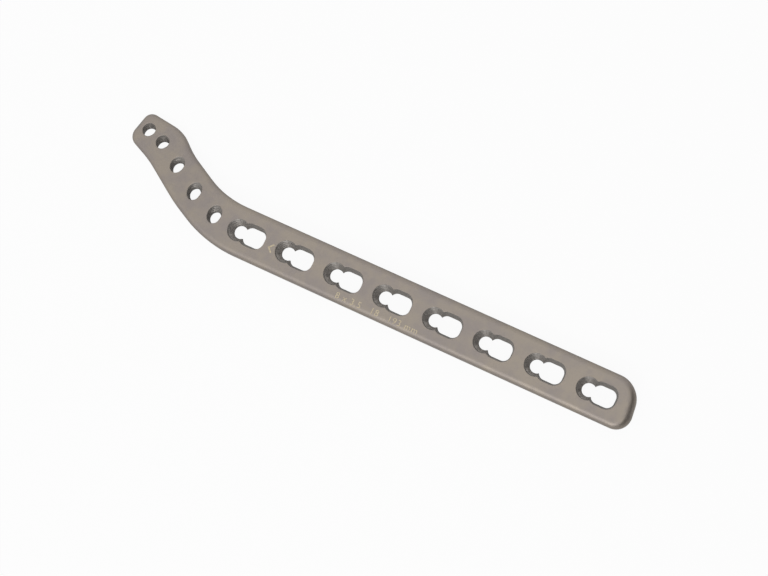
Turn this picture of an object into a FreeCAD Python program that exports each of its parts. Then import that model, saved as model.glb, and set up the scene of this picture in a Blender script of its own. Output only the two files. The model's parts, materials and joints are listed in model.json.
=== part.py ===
import FreeCAD, Part
import math
import os

# Straight shaft of a curved bone plate, millimetres. +X runs to the free end of the
# shaft, the head curves towards +Y, +Z is the outer face. The origin lies on the bone
# side, in the middle of the row of combination holes.
HOLE_COUNT = 8
HOLE_PITCH = 18.0
SHAFT_WIDTH = 16.5
SHAFT_THICK = 4.3
TOP_ROUND = 1.8
END_ROUND = 2.7            # the same edge across the free end, where the plate thins out
BONE_ROUND = 0.7

# Free end of the shaft, from the centre of the last combination hole.
END_UPPER = (11.1, 8.0)    # reach along +X at the +Y corner, corner radius
END_LOWER = (13.2, 5.2)    # the same at the -Y corner

# Head outline from the centre of the first combination hole: x, y, corner radius.
NECK_UPPER = (-13.4, 36.0)
NECK_LOWER = (-12.6, 45.0)
HEAD_CORNERS = [
    (-31.0, 17.4, 30.0),
    (-37.9, 23.05, 13.0),
    (-52.2, 25.0, 3.2),
    (-54.8, 14.0, 4.0),
    (-44.3, 9.5, 40.0),
    (-29.0, -0.15, 60.0),
]

# The head bends towards the bone across a slanted line.
BEND_X = -12.0             # where the bend line crosses the shaft axis
BEND_TURN = 35.0           # angle of the fall direction from -X towards +Y
BEND_RADIUS = 120.0
BEND_OUTER = 6.0           # fall of the outer face, degrees
BEND_BONE = 3.8            # fall of the bone side, degrees

# Combination hole: a threaded end towards the head joined to a sliding slot.
THREAD_X = -3.5
THREAD_R = 2.3
THREAD_MOUTH_R = 3.8
THREAD_STRAIGHT = 1.0      # height of the straight wall above the bone side
SLOT_LEFT = -2.25
SLOT_RIGHT = 5.52
SLOT_HALF = 3.06
SLOT_CORNER = 2.4
SLOT_FLARE = 0.86          # how far the mouth is wider than the bottom, each side
SLOT_STRAIGHT = 1.1

# Round locking holes of the head. Each bore keeps its radius up from the bone side and
# then opens into an oval mouth, so that the screw can lean.
HEAD_R = 2.25
HEAD_HOLES = [
    # x, y of the axis on the outer face from the centre of the first combination hole;
    # sideways lean of the axis in x and y for each millimetre of depth;
    # depth and radius of the mouth, and how far it is drawn to +X and +Y
    (-13.36, 0.64, 0.015, 0.03, 1.9, 2.4, 0.0, 0.95),
    (-23.47, 4.99, -0.03, 0.065, 1.8, 2.42, -0.03, 1.0),
    (-33.56, 11.1, 0.07, -0.055, 1.5, 2.37, 0.08, 0.75),
    (-42.3, 16.8, 0.113, -0.47, 1.2, 2.3, 0.08, 0.05),
    (-48.87, 18.88, 0.1, -0.39, 1.2, 2.3, 0.05, 0.05),
]

V = FreeCAD.Vector
first_x = -(HOLE_COUNT - 1) / 2 * HOLE_PITCH
last_x = -first_x


def rounded(corners, z=0.0):
    """Closed wire of straight runs with every corner rounded by its own radius."""
    n = len(corners)
    pts = [V(c[0], c[1], z) for c in corners]
    runs = []
    for i, (x, y, r) in enumerate(corners):
        a = (pts[i - 1] - pts[i]).normalize()
        b = (pts[(i + 1) % n] - pts[i]).normalize()
        half = a.getAngle(b) / 2
        cut = r / math.tan(half)
        mid = (a + b).normalize()
        centre = pts[i] + mid * (r / math.sin(half))
        runs.append((pts[i] + a * cut, centre - mid * r, pts[i] + b * cut))
    edges = []
    for i, (start, middle, end) in enumerate(runs):
        edges.append(Part.Arc(start, middle, end).toShape())
        follow = runs[(i + 1) % n][0]
        if (follow - end).Length > 1e-6:
            edges.append(Part.LineSegment(end, follow).toShape())
    return Part.Wire(edges)


def outline():
    half = SHAFT_WIDTH / 2
    corners = [
        (last_x + END_UPPER[0], half, END_UPPER[1]),
        (first_x + NECK_UPPER[0], half, NECK_UPPER[1]),
    ]
    corners += [(first_x + x, y, r) for x, y, r in HEAD_CORNERS]
    corners += [
        (first_x + NECK_LOWER[0], -half, NECK_LOWER[1]),
        (last_x + END_LOWER[0], -half, END_LOWER[1]),
    ]
    return rounded(corners, -30)


def bent_slab():
    """Slab that is level along the shaft and falls away past the bend line."""
    far, near = 120.0, -400.0

    def side(z, degrees):
        a = math.radians(degrees)
        end = V(BEND_RADIUS * math.sin(a), 0, z - BEND_RADIUS * (1 - math.cos(a)))
        mid = V(BEND_RADIUS * math.sin(a / 2), 0, z - BEND_RADIUS * (1 - math.cos(a / 2)))
        tip = end + V(math.cos(a), 0, -math.sin(a)) * far
        return V(near, 0, z), V(0, 0, z), mid, end, tip

    t, u = side(SHAFT_THICK, BEND_OUTER), side(0.0, BEND_BONE)
    edges = [
        Part.LineSegment(u[0], t[0]).toShape(),
        Part.LineSegment(t[0], t[1]).toShape(),
        Part.Arc(t[1], t[2], t[3]).toShape(),
        Part.LineSegment(t[3], t[4]).toShape(),
        Part.LineSegment(t[4], u[4]).toShape(),
        Part.LineSegment(u[4], u[3]).toShape(),
        Part.Arc(u[3], u[2], u[1]).toShape(),
        Part.LineSegment(u[1], u[0]).toShape(),
    ]
    face = Part.Face(Part.Wire(edges))
    slab = face.extrude(V(0, 500, 0))
    slab.translate(V(0, -250, 0))
    slab.rotate(V(0, 0, 0), V(0, 0, 1), 180 - BEND_TURN)
    slab.translate(V(first_x + BEND_X, 0, 0))
    return slab


def rim_edges(solid, outer):
    """Edges between the wall and the outer face, or between the wall and the bone side."""
    found = []
    for e in solid.Edges:
        p = e.valueAt((e.FirstParameter + e.LastParameter) / 2)
        faces = [f for f in solid.ancestorsOfType(e, Part.Face)]
        steep = []
        for f in faces:
            uv = f.Surface.parameter(p)
            steep.append(abs(f.normalAt(*uv).z))
        if len(steep) == 2 and min(steep) < 0.5 < max(steep):
            wall = faces[steep.index(min(steep))]
            above = p.z > wall.CenterOfMass.z
            if above == outer:
                found.append(e)
    return found


def slot_tool():
    top = SHAFT_THICK + 0.6
    grow = SLOT_FLARE / (SHAFT_THICK - SLOT_STRAIGHT)

    def ring(z, g):
        l, r, h, c = SLOT_LEFT - g * 0.6, SLOT_RIGHT + g, SLOT_HALF + g, SLOT_CORNER + g
        return rounded([(r, h, c), (l, h, c), (l, -h, c), (r, -h, c)], z)

    low = Part.Face(ring(-1, 0)).extrude(V(0, 0, SLOT_STRAIGHT + 1))
    high = Part.makeLoft([ring(SLOT_STRAIGHT, 0), ring(top, grow * (top - SLOT_STRAIGHT))], True, True)
    return low.fuse(high)


def combination_hole(x):
    rise = SHAFT_THICK - THREAD_STRAIGHT
    more = 0.6
    wide = THREAD_MOUTH_R + (THREAD_MOUTH_R - THREAD_R) * more / rise
    straight = Part.makeCylinder(THREAD_R, THREAD_STRAIGHT + 1, V(THREAD_X, 0, -1))
    mouth = Part.makeCone(THREAD_R, wide, rise + more, V(THREAD_X, 0, THREAD_STRAIGHT))
    tool = slot_tool().fuse([straight, mouth])
    tool.translate(V(x, 0, 0))
    return tool


def outer_height(x, y):
    """Height of the outer face above the bone side of the shaft."""
    a = math.radians(BEND_OUTER)
    turn = math.radians(BEND_TURN)
    s = -(x - first_x - BEND_X) * math.cos(turn) + y * math.sin(turn)
    flat = BEND_RADIUS * math.sin(a)
    if s <= 0:
        return SHAFT_THICK
    if s < flat:
        return SHAFT_THICK - BEND_RADIUS + math.sqrt(BEND_RADIUS ** 2 - s * s)
    return SHAFT_THICK - BEND_RADIUS * (1 - math.cos(a)) - (s - flat) * math.tan(a)


def oval(centre, along_x, along_y, normal=V(0, 0, 1)):
    """Closed ellipse about centre, its axes as near to X and Y as the normal allows."""
    y = V(0, 1, 0).cross(normal).cross(normal).negative().normalize()
    x = y.cross(normal).normalize()
    if abs(along_x - along_y) < 1e-6:
        return Part.Wire(Part.Circle(centre, normal, along_x).toShape())
    if along_x > along_y:
        return Part.Wire(Part.Ellipse(centre + x * along_x, centre + y * along_y, centre).toShape())
    return Part.Wire(Part.Ellipse(centre + y * along_y, centre + x * along_x, centre).toShape())


def head_hole(x, y, lean_x, lean_y, mouth_depth, mouth_r, pull_x, pull_y):
    """Bore and mouth of one round hole, as two tools."""
    mouth = V(first_x + x, y, outer_height(first_x + x, y))
    axis = V(lean_x, lean_y, -1).normalize()
    bore = Part.makeCylinder(HEAD_R, 15, mouth - axis * 3, axis)
    ends = []
    for t in (-0.3, 1.5):
        # t is 0 at the bottom of the mouth, 1 on the outer face
        c = mouth + axis * (mouth_depth * (1 - t)) + V(pull_x, pull_y, 0) * t
        grow = (mouth_r - HEAD_R) * t
        ends.append(oval(c, HEAD_R + grow + abs(pull_x) * t * 0.9, HEAD_R + grow + abs(pull_y) * t * 0.9))
    return bore, Part.makeLoft(ends, True, True)


def round_top(solid):
    """Round the outer rim, and more so across the free end, with a gradual change at its corners."""
    def radius(p):
        return END_ROUND if p.x > last_x + 9 and abs(p.y) < SHAFT_WIDTH / 2 - 0.5 else TOP_ROUND

    doc = FreeCAD.newDocument("plate")
    base = doc.addObject("Part::Feature", "blank")
    base.Shape = solid
    rim = rim_edges(base.Shape, True)
    rows = []
    for i, e in enumerate(base.Shape.Edges, 1):
        if any(e.isSame(r) for r in rim):
            rows.append((i, radius(e.valueAt(e.FirstParameter)), radius(e.valueAt(e.LastParameter))))
    fillet = doc.addObject("Part::Fillet", "rounded")
    fillet.Base = base
    fillet.Edges = rows
    doc.recompute()
    return fillet.Shape.copy()


blank = Part.Face(outline()).extrude(V(0, 0, 60)).common(bent_slab())
blank = blank.Solids[0]
plate = round_top(blank)
plate = plate.Solids[0].makeFillet(BONE_ROUND, rim_edges(plate.Solids[0], False))
tools = [combination_hole(first_x + i * HOLE_PITCH) for i in range(HOLE_COUNT)]
plate = plate.cut(tools).Solids[0]
for h in HEAD_HOLES:
    for tool in head_hole(*h):
        plate = plate.cut(tool).Solids[0]

os.makedirs("parts", exist_ok=True)
plate.exportStep("parts/bone_plate.step")
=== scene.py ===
"""Orthopedic bone plate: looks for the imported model.

Lengths in the code are metres. +X runs to the free end of the shaft, +Y to the side the head
curves to, +Z out of the outer face. Threads, marks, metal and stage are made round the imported
solid, which keeps its own shape.
"""

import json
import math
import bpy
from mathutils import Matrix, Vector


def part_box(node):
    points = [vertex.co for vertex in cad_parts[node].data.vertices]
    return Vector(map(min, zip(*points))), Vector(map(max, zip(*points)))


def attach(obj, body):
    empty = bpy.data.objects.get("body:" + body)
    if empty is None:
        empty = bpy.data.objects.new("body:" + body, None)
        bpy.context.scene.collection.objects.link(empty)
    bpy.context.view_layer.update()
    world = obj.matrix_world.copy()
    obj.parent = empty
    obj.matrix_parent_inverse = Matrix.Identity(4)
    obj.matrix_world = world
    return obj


bl_info = {
    "name": "Orthopedic bone plate",
    "version": (1, 0, 0),
    "blender": (4, 5, 0),
    "location": "3D View > Sidebar > Bone Plate",
    "description": "Metal finish, hole threads, edge marks and stage for a curved locking plate",
    "category": "Object",
}

import bmesh
import bpy
from mathutils import Matrix, Vector
from mathutils.bvhtree import BVHTree

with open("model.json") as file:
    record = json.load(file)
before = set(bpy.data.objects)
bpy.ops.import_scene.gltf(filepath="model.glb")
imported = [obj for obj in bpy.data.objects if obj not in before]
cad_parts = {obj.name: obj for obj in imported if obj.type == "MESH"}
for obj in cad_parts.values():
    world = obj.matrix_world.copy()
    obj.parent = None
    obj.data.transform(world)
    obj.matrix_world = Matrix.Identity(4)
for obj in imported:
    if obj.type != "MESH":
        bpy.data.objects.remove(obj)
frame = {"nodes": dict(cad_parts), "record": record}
MM = 0.001
PLATE = frame["nodes"]["bone_plate"]
LOW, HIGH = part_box("bone_plate")
HEAD_BORES = [m for m in frame["record"]["mounts"] if m["kind"] == "bore"]

# Row of combination holes, as in the solid.
HOLE_COUNT = 8
HOLE_PITCH = 18.0 * MM
THREAD_OFFSET = -3.5 * MM

# Where the finish looks for bored walls: a little more room than each hole takes.
ROUND_REACH = 0.0048        # from the middle of a round hole
SLOT_MIDDLE = -0.0003       # middle of a combination hole, along X from its place in the row
SLOT_REACH = 0.0076         # from that middle, along X
SLOT_SIDE = 0.0048          # from the shaft's axis
ROW_REACH = HOLE_COUNT / 2 * HOLE_PITCH - 0.00036   # of the row, short of the free end's wall
FACE_SLOPE, WALL_SLOPE = 0.93, 0.86     # upright part of the normal, on a face and on a wall

# How metallic each finish is; the rest is dull oxide, of which the bored walls show most.
METAL_SHARE = 0.9
BORED_METAL_SHARE = 0.3
THREAD_METAL_SHARE = 0.75
MARK_METAL_SHARE = 0.5

# Fine structure of the finishes.
ROUGHNESS_SPREAD = 0.05     # of the blasted face, either way
PIT_DEPTH = 0.12            # of a pit left by the blasting, as a share of its width
TURNED_STRETCH = 0.55       # how far the turned rings draw out a highlight
STREAK_WIDTH = 0.0008       # of a streak in the turned threads
STREAK_DRAWN = 0.12         # how much slower a streak changes along Z
MARK_UNEVEN = 0.0006        # width of the uneven spots in a laser mark
MARK_WORN = 0.78            # tone of these spots, as a share of the mark's

# Ridges of a thread.
RIDGE_STEPS = 64            # points in a turn
RIDGE_HALF = 0.46           # half the width of a ridge's foot, as a share of the pitch
RIDGE_FLANK = 0.86          # how far in a flank leans, from the foot's edge to its middle
RIDGE_SINK = 0.00004        # how deep the foot stands in the wall
RIDGE_FADE = 6              # points over which the crest rises and falls at the ends
RIDGE_LEAST = 8             # a stretch with no more points than this is left out
RIDGE_SHARP = 28            # degrees; flatter creases are shaded smooth
WALL_FACING = -0.6          # dot of a wall's normal with the way out, at most

# Laser marks.
MARK_SKIN = 0.000012        # how far a mark stands over the outer face
CAP_SHARE = 0.7             # height of a figure as a share of the font's size
LETTER_SPACE = 1.12
POINTER_ARM = 0.001425      # reach of an arm of the pointer, along X and along Y
MITRE_LIMIT = 0.3           # keeps the corner of a sharply turning line short

# Stage.
FLOOR_DROP = 0.00002        # how far the floor lies under the plate's lowest point
FLOOR_BY_CAMERA = 0.94      # share of plain white in the floor that the camera sees
FLOOR_BY_GLOSS = 0.2        # the same for gloss and glass
FILL_LIGHT = 0.55           # strength of the world's light on the plate
CARD_TONE = 0.08

# Photograph's view: angles in degrees, focal length in pixels of a picture 768 wide.
PHOTO_ANGLES = (-22.46, 74.93, 25.73)   # azimuth, elevation, roll
PHOTO_TARGET = (-0.01358, 0.00236, 0.0043)
PHOTO_DISTANCE = 0.6042
PHOTO_FOCAL, PHOTO_WIDTH = 1879.3, 768


# ---------------------------------------------------------------- values a user would change

class PlateMetalValues(bpy.types.PropertyGroup):
    colour: bpy.props.FloatVectorProperty(
        name="Metal colour", description="Main tone of the blasted metal",
        subtype="COLOR", size=3, min=0, max=1, default=(0.324, 0.283, 0.240))
    cool_colour: bpy.props.FloatVectorProperty(
        name="Cool patches", description="Tone of the faint cooler patches",
        subtype="COLOR", size=3, min=0, max=1, default=(0.294, 0.260, 0.240))
    patch_size: bpy.props.FloatProperty(
        name="Patch size", description="Width of the faint colour patches",
        subtype="DISTANCE", unit="LENGTH", min=0.0005, default=0.0075)
    grain_size: bpy.props.FloatProperty(
        name="Grain size", description="Width of a pit left by the blasting",
        subtype="DISTANCE", unit="LENGTH", min=0.00002, default=0.00016)
    roughness: bpy.props.FloatProperty(
        name="Roughness", description="How dull the metal is",
        subtype="FACTOR", min=0, max=1, default=0.50)
    bored_colour: bpy.props.FloatVectorProperty(
        name="Hole colour", description="Tone of the bored walls, greyer than the blasted face",
        subtype="COLOR", size=3, min=0, max=1, default=(0.29, 0.27, 0.25))
    bored_roughness: bpy.props.FloatProperty(
        name="Hole roughness", description="How dull the bored walls are",
        subtype="FACTOR", min=0, max=1, default=0.55)
    thread_colour: bpy.props.FloatVectorProperty(
        name="Thread colour", description="Tone of the turned threads of the combination holes",
        subtype="COLOR", size=3, min=0, max=1, default=(0.37, 0.347, 0.324))
    # Painted shade: the round holes' threads take the same thread tone darkened to about 85
    # percent, so the head holes look shaded.
    head_thread_painted_shade_colour: bpy.props.FloatVectorProperty(
        name="Head thread colour", description="Tone of the finer threads of the round holes",
        subtype="COLOR", size=3, min=0, max=1, default=(0.315, 0.295, 0.275))
    thread_roughness: bpy.props.FloatProperty(
        name="Thread roughness", description="How dull the turned threads are",
        subtype="FACTOR", min=0, max=1, default=0.42)
    rim_softness: bpy.props.FloatProperty(
        name="Rim softness", description="Width of the broken edge round each combination hole",
        subtype="DISTANCE", unit="LENGTH", min=0.0001, default=0.0002)
    mouth_softness: bpy.props.FloatProperty(
        name="Mouth softness", description="Width of the broken edge round each round hole",
        subtype="DISTANCE", unit="LENGTH", min=0.0001, default=0.00055)


class ThreadValues(bpy.types.PropertyGroup):
    shaft_pitch: bpy.props.FloatProperty(
        name="Pitch in the shaft", description="Rise of one turn in the combination holes",
        subtype="DISTANCE", unit="LENGTH", min=0.0002, default=0.0008)
    shaft_depth: bpy.props.FloatProperty(
        name="Depth in the shaft", description="How far a ridge stands in from the cone",
        subtype="DISTANCE", unit="LENGTH", min=0.00002, default=0.00020)
    head_pitch: bpy.props.FloatProperty(
        name="Pitch in the head", description="Rise of one turn in the round holes",
        subtype="DISTANCE", unit="LENGTH", min=0.0002, default=0.0005)
    head_depth: bpy.props.FloatProperty(
        name="Depth in the head", description="How far a ridge stands in from the bore",
        subtype="DISTANCE", unit="LENGTH", min=0.00002, default=0.00006)
    head_lead: bpy.props.FloatProperty(
        name="Lead-in of the head", description="Plain wall between the thread and the outer face",
        subtype="DISTANCE", unit="LENGTH", min=0.0, default=0.00035)


class MarkValues(bpy.types.PropertyGroup):
    row_text: bpy.props.StringProperty(
        name="Size row", description="Plain numbers: holes, screw, spacing and length",
        default="8 x 3.5   18   193 mm")
    row_height: bpy.props.FloatProperty(
        name="Row height", description="Height of the figures",
        subtype="DISTANCE", unit="LENGTH", min=0.0003, default=0.0021)
    stroke: bpy.props.FloatProperty(
        name="Stroke", description="Width of the pointer's strokes",
        subtype="DISTANCE", unit="LENGTH", min=0.0001, default=0.00048)
    colour: bpy.props.FloatVectorProperty(
        name="Mark colour", description="Pale straw tone of a laser mark",
        subtype="COLOR", size=3, min=0, max=1, default=(0.64, 0.55, 0.39))


class StageValues(bpy.types.PropertyGroup):
    floor_colour: bpy.props.FloatVectorProperty(
        name="Floor colour", description="Colour of the pale floor",
        subtype="COLOR", size=3, min=0, max=1, default=(0.88, 0.88, 0.88))
    floor_size: bpy.props.FloatProperty(
        name="Floor size", description="Side of the square floor",
        subtype="DISTANCE", unit="LENGTH", min=0.5, default=6.0)
    lamp_power: bpy.props.FloatProperty(
        name="Lamp power", description="Power of the large soft lamp",
        subtype="POWER", unit="POWER", min=0, default=2.06)
    small_lamp_power: bpy.props.FloatProperty(
        name="Small lamp power", description="Power of the lamp that draws streaks in the threads",
        subtype="POWER", unit="POWER", min=0, default=1.75)
    card_gap: bpy.props.FloatProperty(
        name="Card distance", description="From the plate's free end to the dark card",
        subtype="DISTANCE", unit="LENGTH", min=0.05, default=0.33)
    card_width: bpy.props.FloatProperty(
        name="Card width", description="Width of the dark card",
        subtype="DISTANCE", unit="LENGTH", min=0.05, default=1.0)
    card_height: bpy.props.FloatProperty(
        name="Card height", description="Height of the dark card",
        subtype="DISTANCE", unit="LENGTH", min=0.05, default=0.42)


# ---------------------------------------------------------------- nodes

def new_material(name):
    """Material with an empty node tree, and that tree."""
    material = bpy.data.materials.new(name)
    material.use_nodes = True
    material.node_tree.nodes.clear()
    return material, material.node_tree


def feed(tree, socket, value):
    """Link an output to a socket, or write a plain value into it."""
    if isinstance(value, bpy.types.NodeSocket):
        tree.links.new(value, socket)
    else:
        socket.default_value = value


def feed_all(tree, sockets, values):
    for socket, value in zip(sockets, values):
        feed(tree, socket, value)


def add(tree, kind, place, **sockets):
    """Node of a kind, with links or plain values for its inputs by name."""
    node = tree.nodes.new(kind)
    node.location = place
    for name, value in sockets.items():
        feed(tree, node.inputs[name.replace("_", " ")], value)
    return node


def maths(tree, operation, place, *values):
    """Result of a math node."""
    node = add(tree, "ShaderNodeMath", place)
    node.operation = operation
    feed_all(tree, node.inputs, values)
    return node.outputs[0]


def vector_maths(tree, operation, place, result, *values):
    """Output named result of a vector math node."""
    node = add(tree, "ShaderNodeVectorMath", place)
    node.operation = operation
    feed_all(tree, node.inputs, values)
    return node.outputs[result]


def remap(tree, place, source, low, high, to_low=0.0, to_high=1.0):
    """Number that goes from to_low to to_high while source goes from low to high."""
    node = add(tree, "ShaderNodeMapRange", place, Value=source, From_Min=low, From_Max=high,
               To_Min=to_low, To_Max=to_high)
    return node.outputs["Result"]


def noise(tree, place, vector, width, detail, roughness=0.5):
    """Noise whose largest spots are about width across."""
    node = add(tree, "ShaderNodeTexNoise", place, Vector=vector, Scale=1 / width, Detail=detail,
               Roughness=roughness)
    return node.outputs["Fac"]


def mix_colours(tree, place, share, first, second, blend="MIX"):
    """Colour between first and second, or first multiplied by second, and so on."""
    node = add(tree, "ShaderNodeMix", place)
    node.data_type = "RGBA"
    node.blend_type = blend
    feed_all(tree, (node.inputs[0], node.inputs[6], node.inputs[7]), (share, first, second))
    return node.outputs[2]


def mix_shaders(tree, place, share, first, second):
    node = add(tree, "ShaderNodeMixShader", place)
    feed_all(tree, node.inputs, (share, first, second))
    return node.outputs[0]


# ---------------------------------------------------------------- materials

def bored_share(tree, place):
    """Two outputs: 1 on the walls of the holes, by place and slope, and 1 near a round hole.

    Both are 0 elsewhere; the second doesn't look at the slope.
    """
    spot = place.outputs["Object"]
    parts = add(tree, "ShaderNodeSeparateXYZ", (-1100, -700), Vector=spot)
    slope = add(tree, "ShaderNodeSeparateXYZ", (-1100, -900), Vector=place.outputs["Normal"])
    upright = maths(tree, "ABSOLUTE", (-900, -900), slope.outputs["Z"])
    steep = remap(tree, (-700, -900), upright, FACE_SLOPE, WALL_SLOPE)

    # a round hole: near the middle of its bore
    near = 0.0
    for i, bore in enumerate(HEAD_BORES):
        y = -1100 - 160 * i
        away = vector_maths(tree, "DISTANCE", (-900, y), "Value", spot, bore["pos_m"])
        inside = maths(tree, "LESS_THAN", (-700, y), away, ROUND_REACH)
        near = maths(tree, "MAXIMUM", (-500, y), near, inside)

    # a combination hole: within its length, counted from the nearest hole's middle
    shifted = maths(tree, "ADD", (-1000, -560), parts.outputs["X"], HOLE_PITCH / 2)
    local = maths(tree, "WRAP", (-900, -560), shifted, HOLE_PITCH / 2, -HOLE_PITCH / 2)
    along = maths(tree, "COMPARE", (-700, -560), local, SLOT_MIDDLE, SLOT_REACH)
    across = maths(tree, "COMPARE", (-700, -700), parts.outputs["Y"], 0.0, SLOT_SIDE)
    in_row = maths(tree, "COMPARE", (-700, -420), parts.outputs["X"], 0.0, ROW_REACH)
    slot = maths(tree, "MULTIPLY", (-500, -700), along, across)
    slot = maths(tree, "MULTIPLY", (-500, -560), slot, in_row)

    hole = maths(tree, "MAXIMUM", (-300, -700), slot, near)
    return maths(tree, "MULTIPLY", (-150, -700), hole, steep), near


def blasted_metal(values):
    """Dull grey-brown metal with a fine blasted grain, and greyer bored walls in its holes."""
    material, tree = new_material("blasted_titanium")
    place = add(tree, "ShaderNodeTexCoord", (-1400, 0))
    spot = place.outputs["Object"]
    bored, near_round = bored_share(tree, place)

    patches = noise(tree, (-850, 250), spot, values.patch_size, 5.0, 0.65)
    share = remap(tree, (-650, 250), patches, 0.40, 0.62)
    tone = mix_colours(tree, (-420, 250), share, (*values.colour, 1), (*values.cool_colour, 1))
    tone = mix_colours(tree, (-300, 250), bored, tone, (*values.bored_colour, 1))
    grain = noise(tree, (-850, -150), spot, values.grain_size, 2.0, 0.55)
    speck = remap(tree, (-650, 0), grain, 0.3, 0.7, 0.90, 1.10)
    tone = mix_colours(tree, (-150, 250), 1.0, tone, speck, "MULTIPLY")

    dull = remap(tree, (-420, -50), patches, 0.3, 0.7,
                 values.roughness - ROUGHNESS_SPREAD, values.roughness + ROUGHNESS_SPREAD)
    more = maths(tree, "MULTIPLY", (-300, -50), bored, values.bored_roughness - values.roughness)
    rough = maths(tree, "ADD", (-200, -50), dull, more)
    metallic = remap(tree, (-200, 50), bored, 0.0, 1.0, METAL_SHARE, BORED_METAL_SHARE)

    width = remap(tree, (-530, -300), near_round, 0.0, 1.0,
                  values.rim_softness, values.mouth_softness)
    soft = add(tree, "ShaderNodeBevel", (-420, -300), Radius=width)
    soft.samples = 8
    bump = add(tree, "ShaderNodeBump", (-200, -250), Strength=0.5,
               Distance=values.grain_size * PIT_DEPTH, Height=grain, Normal=soft.outputs["Normal"])

    metal = add(tree, "ShaderNodeBsdfPrincipled", (50, 100), Base_Color=tone, Metallic=metallic,
                Roughness=rough, Normal=bump.outputs["Normal"])
    add(tree, "ShaderNodeOutputMaterial", (350, 100), Surface=metal.outputs["BSDF"])
    return material


def turned_thread(name, colour, roughness):
    """Metal cut by a turning tool: its fine rings spread each highlight along the hole's axis.

    Each thread object keeps that axis as its hole_axis.
    """
    material, tree = new_material(name)
    axis = add(tree, "ShaderNodeAttribute", (-1000, -250))
    axis.attribute_type, axis.attribute_name = "OBJECT", "hole_axis"
    turned = add(tree, "ShaderNodeVectorTransform", (-600, -250), Vector=axis.outputs["Vector"])
    turned.vector_type = "VECTOR"
    turned.convert_from, turned.convert_to = "OBJECT", "WORLD"

    place = add(tree, "ShaderNodeTexCoord", (-1000, 0))
    drawn = vector_maths(tree, "MULTIPLY", (-800, 150), "Vector",
                         place.outputs["Object"], (1, 1, STREAK_DRAWN))
    cuts = noise(tree, (-600, 150), drawn, STREAK_WIDTH, 2.0)
    speck = remap(tree, (-400, 150), cuts, 0.35, 0.65, 0.8, 1.2)
    tone = mix_colours(tree, (-150, 150), 1.0, (*colour, 1), speck, "MULTIPLY")

    metal = add(tree, "ShaderNodeBsdfPrincipled", (50, 100), Base_Color=tone,
                Metallic=THREAD_METAL_SHARE, Roughness=roughness,
                Anisotropic=TURNED_STRETCH, Tangent=turned.outputs[0])
    add(tree, "ShaderNodeOutputMaterial", (350, 100), Surface=metal.outputs["BSDF"])
    return material


def laser_mark(values):
    """Pale straw mark, a little darker in uneven spots."""
    material, tree = new_material("laser_mark")
    place = add(tree, "ShaderNodeTexCoord", (-800, 0))
    uneven = noise(tree, (-600, 0), place.outputs["Object"], MARK_UNEVEN, 2.0)
    share = remap(tree, (-400, 0), uneven, 0.35, 0.65)
    worn = (*[MARK_WORN * c for c in values.colour], 1)
    tone = mix_colours(tree, (-200, 0), share, (*values.colour, 1), worn)
    metal = add(tree, "ShaderNodeBsdfPrincipled", (50, 0), Base_Color=tone,
                Metallic=MARK_METAL_SHARE, Roughness=0.6)
    add(tree, "ShaderNodeOutputMaterial", (350, 0), Surface=metal.outputs["BSDF"])
    return material


# ---------------------------------------------------------------- meshes and objects

def mesh_of(name, bm):
    """Mesh made from a bmesh, which is freed."""
    mesh = bpy.data.meshes.new(name)
    bm.to_mesh(mesh)
    bm.free()
    return mesh


def new_object(name, data):
    item = bpy.data.objects.new(name, data)
    bpy.context.scene.collection.objects.link(item)
    return item


def new_piece(name, mesh, material, centre=None):
    """Object of a mesh, on the plate's body and in its finish.

    With a centre, the object's own origin is put there and the mesh stays where it is.
    """
    piece = new_object(name, mesh)
    if centre is not None:
        mesh.transform(Matrix.Translation(-centre))
        piece.location = centre
    mesh.materials.append(material)
    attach(piece, "root")
    return piece


def plate_surface():
    mesh = PLATE.data
    return BVHTree.FromPolygons([v.co for v in mesh.vertices], [p.vertices for p in mesh.polygons])


def ridge_runs(surface, centre, axis, low, high, pitch, reach, fits, lead=0.0):
    """Stretches of a helix about a hole's axis, each a list of three wall points and a direction.

    The wall is found on the plate itself, so the ridge follows bore, cone and mouth, and
    stops where the wall opens into the slot, or lead short of the wall's upper end.
    """
    side = Vector((1, 0, 0))
    side = (side - axis * side.dot(axis)).normalized()
    across = axis.cross(side)
    half = pitch * RIDGE_HALF
    runs, run = [], []
    for i in range(int((high - low) / pitch * RIDGE_STEPS) + 1):
        angle = 2 * math.pi * i / RIDGE_STEPS
        out = side * math.cos(angle) + across * math.sin(angle)
        height = low + pitch * i / RIDGE_STEPS
        wall = []
        for k in (-half, 0, half, half + lead):
            point, normal, _, distance = surface.ray_cast(centre + axis * (height + k), out, reach)
            if (point is None or normal.dot(out) > WALL_FACING
                    or not fits(height + k, distance)):
                break
            wall.append(point)
        if len(wall) == 4:
            run.append((wall[:3], out))
        elif run:
            runs.append(run)
            run = []
    if run:
        runs.append(run)
    return [r for r in runs if len(r) > RIDGE_LEAST]


def add_ridge(bm, run, depth):
    """One closed ridge along a run; its crest sinks into the wall at both ends.

    depth gives the stand of the crest at a wall point.
    """
    rings = []
    for i, ((lower, middle, upper), out) in enumerate(run):
        stand = depth(middle) * min(1, i / RIDGE_FADE, (len(run) - 1 - i) / RIDGE_FADE)
        rings.append([bm.verts.new(p) for p in (
            lower + out * RIDGE_SINK,
            lower.lerp(middle, RIDGE_FLANK) - out * stand,
            upper.lerp(middle, RIDGE_FLANK) - out * stand,
            upper + out * RIDGE_SINK)])
    for a, b in zip(rings, rings[1:]):
        for k in range(4):
            bm.faces.new((a[k], a[(k + 1) % 4], b[(k + 1) % 4], b[k]))
    bm.faces.new(rings[0])
    bm.faces.new(reversed(rings[-1]))


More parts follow.
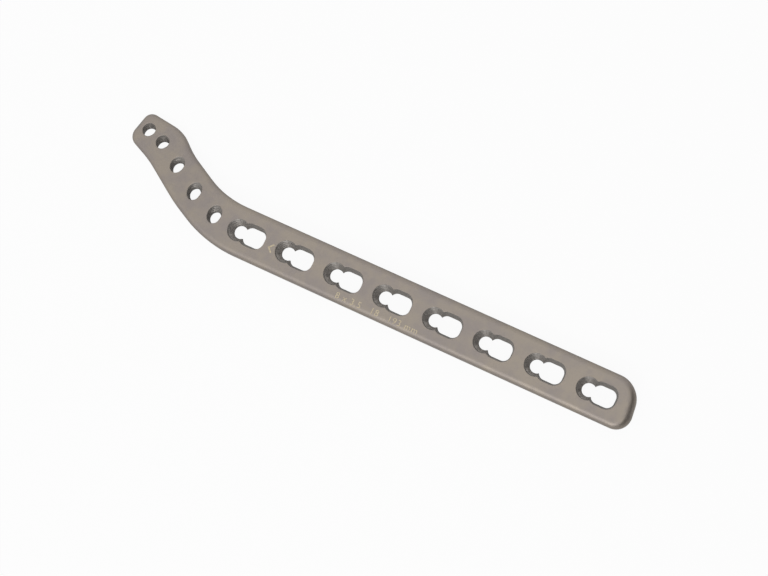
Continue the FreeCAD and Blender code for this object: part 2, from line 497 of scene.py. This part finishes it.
def new_thread(name, runs, depth, finish, centre, axis):
    """Piece of ridges in a hole, whose axis is kept for the turned finish."""
    if not runs:
        raise RuntimeError(f"no wall found for {name}")
    bm = bmesh.new()
    for run in runs:
        add_ridge(bm, run, depth)
    bmesh.ops.recalc_face_normals(bm, faces=bm.faces)
    mesh = mesh_of(name, bm)
    thread = new_piece(name, mesh, finish, centre)
    thread["hole_axis"] = list(axis)
    mesh.shade_smooth()
    mesh.set_sharp_from_angle(angle=math.radians(RIDGE_SHARP))


def stroke_mesh(name, points, width, height):
    """Flat line of even width through points, its corners mitred, standing up by height."""
    left, right = [], []
    for i, p in enumerate(points):
        ways = []
        if i:
            ways.append((p - points[i - 1]).normalized())
        if i < len(points) - 1:
            ways.append((points[i + 1] - p).normalized())
        way = sum(ways, Vector((0, 0, 0))).normalized()
        normal = Vector((-way.y, way.x, 0))
        reach = width / 2 / max(MITRE_LIMIT, normal.dot(Vector((-ways[0].y, ways[0].x, 0))))
        left.append(p + normal * reach)
        right.append(p - normal * reach)
    outline = right + left[::-1]
    bm = bmesh.new()
    low = [bm.verts.new(p) for p in outline]
    high = [bm.verts.new(p + Vector((0, 0, height))) for p in outline]
    bm.faces.new(reversed(low))
    bm.faces.new(high)
    for i in range(len(outline)):
        bm.faces.new((low[i - 1], low[i], high[i], high[i - 1]))
    return mesh_of(name, bm)


def new_sheet(name, corners, material):
    """Flat piece of the stage."""
    bm = bmesh.new()
    bm.faces.new([bm.verts.new(c) for c in corners])
    mesh = mesh_of(name, bm)
    mesh.materials.append(material)
    return new_object(name, mesh)


# ---------------------------------------------------------------- operators

class BONEPLATE_OT_metal(bpy.types.Operator):
    """Gives the plate its blasted metal finish"""
    bl_idname = "boneplate.metal"
    bl_label = "Finish plate"

    def execute(self, context):
        PLATE.data.materials[0] = blasted_metal(context.scene.plate_metal)
        return {"FINISHED"}


class BONEPLATE_OT_shaft_threads(bpy.types.Operator):
    """Cuts the threads in the round ends of the combination holes"""
    bl_idname = "boneplate.shaft_threads"
    bl_label = "Thread combination holes"

    cone_low: bpy.props.FloatProperty(
        name="Bore radius", description="Radius of the round end at the bone side",
        subtype="DISTANCE", unit="LENGTH", default=0.0023)
    cone_high: bpy.props.FloatProperty(
        name="Mouth radius", description="Radius of the round end at the outer face",
        subtype="DISTANCE", unit="LENGTH", default=0.0038)
    straight: bpy.props.FloatProperty(
        name="Straight height", description="Height of the straight wall above the bone side",
        subtype="DISTANCE", unit="LENGTH", default=0.001)

    def execute(self, context):
        values, metal = context.scene.plate_threads, context.scene.plate_metal
        surface = plate_surface()
        rise = HIGH.z - self.straight
        low, high = 0.0003, HIGH.z - 0.0001     # span of the thread over the bone side
        reach = 0.005                           # past the widest part of the cone
        slack = 0.00012                         # how far off the cone a wall may lie
        shallow = 0.45                          # share of the depth in the straight wall

        def fits(height, distance):
            """Whether a wall is the cone's and not the slot's."""
            grow = max(0, height - self.straight) / rise
            radius = self.cone_low + (self.cone_high - self.cone_low) * grow
            return abs(distance - radius) < slack

        def depth(point):
            return values.shaft_depth * (shallow if point.z < self.straight else 1)

        finish = turned_thread("turned_titanium", metal.thread_colour, metal.thread_roughness)
        axis = Vector((0, 0, 1))
        for i in range(HOLE_COUNT):
            centre = Vector(((i - (HOLE_COUNT - 1) / 2) * HOLE_PITCH + THREAD_OFFSET, 0, 0))
            runs = ridge_runs(surface, centre, axis, low, high, values.shaft_pitch, reach, fits)
            new_thread(f"combination_thread_{i + 1}", runs, depth, finish, centre, axis)
        return {"FINISHED"}


class BONEPLATE_OT_head_threads(bpy.types.Operator):
    """Cuts the threads in the round holes of the head"""
    bl_idname = "boneplate.head_threads"
    bl_label = "Thread head holes"

    def execute(self, context):
        values, metal = context.scene.plate_threads, context.scene.plate_metal
        surface = plate_surface()
        low, high = -0.004, 0.006       # along the axis from the bore's middle, past both faces
        nearest, reach = 0.0018, 0.0042     # from the axis to the walls of bore and mouth
        # The head's threads get the darker copy of the thread tone, which is painted shade.
        finish = turned_thread("fine_turned_titanium_painted_shade", metal.head_thread_painted_shade_colour,
                               metal.thread_roughness)
        for i, bore in enumerate(HEAD_BORES):
            centre, axis = Vector(bore["pos_m"]), Vector(bore["axis"]).normalized()
            runs = ridge_runs(surface, centre, axis, low, high, values.head_pitch, reach,
                              lambda height, distance: distance > nearest, values.head_lead)
            new_thread(f"head_thread_{i + 1}", runs, lambda point: values.head_depth, finish,
                       centre, axis)
        return {"FINISHED"}


class BONEPLATE_OT_marks(bpy.types.Operator):
    """Puts plain size figures and a pointer on the outer face"""
    bl_idname = "boneplate.marks"
    bl_label = "Mark plate"

    row_start: bpy.props.FloatVectorProperty(
        name="Row start", description="Lower left corner of the row of figures",
        subtype="XYZ", unit="LENGTH", size=2, default=(-0.0272, -0.0070))
    pointer: bpy.props.FloatVectorProperty(
        name="Pointer tip", description="Tip of the pointer that shows the head's direction",
        subtype="XYZ", unit="LENGTH", size=2, default=(-0.0545, -0.0010))

    def execute(self, context):
        values = context.scene.plate_marks
        straw = laser_mark(values)

        text = bpy.data.curves.new("size_row", "FONT")
        text.body = values.row_text
        text.size = values.row_height / CAP_SHARE
        text.space_character = LETTER_SPACE
        text.extrude = MARK_SKIN / 2
        text.materials.append(straw)
        row = new_object("size_row", text)
        row.location = (*self.row_start, HIGH.z + MARK_SKIN / 2)
        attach(row, "root")

        tip = Vector((*self.pointer, HIGH.z - MARK_SKIN))
        points = [tip + Vector((POINTER_ARM, POINTER_ARM, 0)), tip,
                  tip + Vector((POINTER_ARM, -POINTER_ARM, 0))]
        mesh = stroke_mesh("head_pointer", points, values.stroke, 2 * MARK_SKIN)
        new_piece("head_pointer", mesh, straw)
        return {"FINISHED"}


class BONEPLATE_OT_stage(bpy.types.Operator):
    """Sets the floor, the soft light and the camera"""
    bl_idname = "boneplate.stage"
    bl_label = "Set stage"

    def execute(self, context):
        values = context.scene.plate_stage
        self.floor(values)
        self.world()
        self.lamps(values)
        self.dark_card(values)
        self.camera(context)
        context.scene.view_settings.view_transform = "Standard"
        return {"FINISHED"}

    def seen(self, tree, place, by_camera, by_gloss):
        """Share of plain white that the camera, and that gloss and glass, see here."""
        path = add(tree, "ShaderNodeLightPath", place)
        total = 0.0
        for i, (name, share) in enumerate((("Is Camera Ray", by_camera),
                                           ("Is Glossy Ray", by_gloss),
                                           ("Is Transmission Ray", by_gloss)), 1):
            total = maths(tree, "MULTIPLY_ADD", (place[0] + 200 * i, place[1]),
                          path.outputs[name], share, total)
        return total

    def floor(self, values):
        material, tree = new_material("pale_floor")
        paint = add(tree, "ShaderNodeBsdfDiffuse", (0, 100), Color=(*values.floor_colour, 1))
        white = add(tree, "ShaderNodeEmission", (0, -50), Color=(1, 1, 1, 1), Strength=1.0)
        share = self.seen(tree, (-800, -200), FLOOR_BY_CAMERA, FLOOR_BY_GLOSS)
        both = mix_shaders(tree, (250, 50), share, paint.outputs[0], white.outputs[0])
        add(tree, "ShaderNodeOutputMaterial", (450, 50), Surface=both)

        half, level = values.floor_size / 2, LOW.z - FLOOR_DROP
        corners = [(x * half, y * half, level) for x, y in ((-1, -1), (1, -1), (1, 1), (-1, 1))]
        new_sheet("floor", corners, material)

    def world(self):
        world = bpy.data.worlds.new("studio")
        bpy.context.scene.world = world
        world.use_nodes = True
        tree = world.node_tree
        tree.nodes.clear()
        fill = add(tree, "ShaderNodeBackground", (0, 100), Color=(1, 1, 1, 1),
                   Strength=FILL_LIGHT)
        white = add(tree, "ShaderNodeBackground", (0, -50), Color=(1, 1, 1, 1), Strength=1.0)
        share = self.seen(tree, (-800, 0), 1.0, 1.0)
        both = mix_shaders(tree, (250, 0), share, fill.outputs[0], white.outputs[0])
        add(tree, "ShaderNodeOutputWorld", (450, 0), Surface=both)

    def lamps(self, values):
        """Round lamps, by their place from the plate's middle and their width."""
        middle = (LOW + HIGH) / 2
        for name, place, size, power in (
            ("lamp_side", Vector((0.10, -0.55, 0.88)), 1.4, values.lamp_power),
            ("lamp_small", Vector((0.20, -0.72, 0.76)), 0.3, values.small_lamp_power),
        ):
            data = bpy.data.lights.new(name, "AREA")
            data.shape = "DISK"
            data.size = size
            data.energy = power
            lamp = new_object(name, data)
            lamp.location = middle + place
            lamp.rotation_mode = "QUATERNION"
            lamp.rotation_quaternion = place.to_track_quat("Z", "Y")

    def dark_card(self, values):
        """Dark board beyond the free end, out of the camera's sight, which shades that side."""
        material, tree = new_material("dark_cloth")
        cloth = add(tree, "ShaderNodeBsdfDiffuse", (0, 0), Color=(*[CARD_TONE] * 3, 1))
        add(tree, "ShaderNodeOutputMaterial", (200, 0), Surface=cloth.outputs[0])

        x, half = HIGH.x + values.card_gap, values.card_width / 2
        low, high = LOW.z, LOW.z + values.card_height
        corners = [(x, -half, low), (x, half, low), (x, half, high), (x, -half, high)]
        card = new_sheet("dark_card", corners, material)
        card.visible_camera = False

    def camera(self, context):
        """Camera at the photograph's place, nearly straight above the plate."""
        azimuth, elevation, roll = (math.radians(a) for a in PHOTO_ANGLES)
        back = Vector((math.cos(elevation) * math.cos(azimuth),
                       math.cos(elevation) * math.sin(azimuth), math.sin(elevation)))
        level = Vector((0, 1, 0)).cross(back).normalized()
        upward = back.cross(level)
        right = level * math.cos(roll) + upward * math.sin(roll)
        up = upward * math.cos(roll) - level * math.sin(roll)
        data = bpy.data.cameras.new("camera")
        data.sensor_width = 36
        data.lens = PHOTO_FOCAL / PHOTO_WIDTH * data.sensor_width
        data.clip_start, data.clip_end = 0.01, 20
        camera = new_object("camera", data)
        turn = Matrix((right, up, back)).transposed().to_4x4()
        place = Vector(PHOTO_TARGET) + back * PHOTO_DISTANCE
        camera.matrix_world = Matrix.Translation(place) @ turn
        context.scene.camera = camera


class BONEPLATE_PT_panel(bpy.types.Panel):
    """Sizes, colours and build steps of the bone plate"""
    bl_idname = "BONEPLATE_PT_panel"
    bl_label = "Bone Plate"
    bl_space_type = "VIEW_3D"
    bl_region_type = "UI"
    bl_category = "Bone Plate"

    def draw(self, context):
        for title, group, steps in (
            ("Metal", "plate_metal", ("boneplate.metal",)),
            ("Threads", "plate_threads", ("boneplate.shaft_threads", "boneplate.head_threads")),
            ("Marks", "plate_marks", ("boneplate.marks",)),
            ("Stage", "plate_stage", ("boneplate.stage",)),
        ):
            box = self.layout.box()
            box.label(text=title)
            values = getattr(context.scene, group)
            for name in values.__annotations__:
                box.prop(values, name)
            for step in steps:
                box.operator(step)


GROUPS = (
    ("plate_metal", PlateMetalValues),
    ("plate_threads", ThreadValues),
    ("plate_marks", MarkValues),
    ("plate_stage", StageValues),
)
CLASSES = (
    PlateMetalValues, ThreadValues, MarkValues, StageValues,
    BONEPLATE_OT_metal, BONEPLATE_OT_shaft_threads, BONEPLATE_OT_head_threads,
    BONEPLATE_OT_marks, BONEPLATE_OT_stage, BONEPLATE_PT_panel,
)


def register():
    for cls in CLASSES:
        bpy.utils.register_class(cls)
    for name, group in GROUPS:
        setattr(bpy.types.Scene, name, bpy.props.PointerProperty(type=group))


def unregister():
    for name, _ in GROUPS:
        delattr(bpy.types.Scene, name)
    for cls in reversed(CLASSES):
        bpy.utils.unregister_class(cls)


def main():
    register()
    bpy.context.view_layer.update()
    bpy.ops.boneplate.metal()
    bpy.ops.boneplate.shaft_threads()
    bpy.ops.boneplate.head_threads()
    bpy.ops.boneplate.marks()
    bpy.ops.boneplate.stage()


if __name__ == "__main__":
    main()
